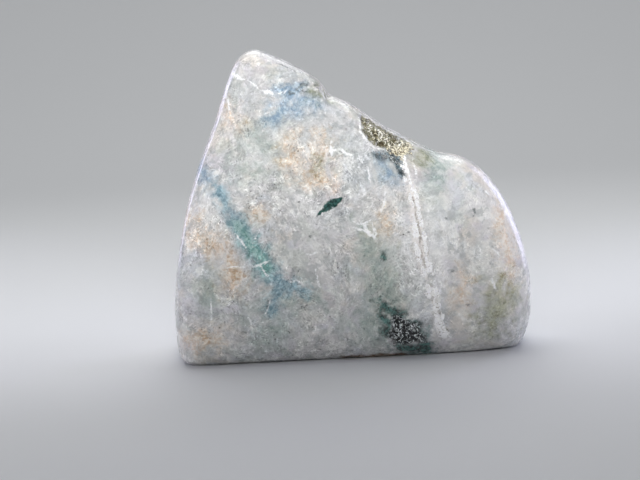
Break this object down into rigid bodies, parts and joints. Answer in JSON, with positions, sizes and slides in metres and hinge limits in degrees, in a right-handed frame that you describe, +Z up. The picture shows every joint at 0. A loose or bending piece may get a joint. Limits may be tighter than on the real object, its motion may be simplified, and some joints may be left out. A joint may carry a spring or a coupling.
{
  "type": "polished jade stone",
  "caption": "Soft-edged polished slab of pale grey jade with blue-green streaks, a white vein and a rough hollow on its upper edge, standing on a narrow flat.",
  "frame": {"origin": "on the surface the stone stands on, under the middle of its bounding box", "axes": "+X along the width, towards the low rounded side; +Y through the thickness, away from the marked front face; +Z up from the resting flat"},
  "size_m": [0.05, 0.0206, 0.0428],
  "materials": {
    "polished_jade": "tumbled and polished, glossy, faintly translucent, with blue-green, peach and white markings"
  },
  "bodies": {
    "root": {"jade_stone": "polished_jade"}
  },
  "joints": []
}
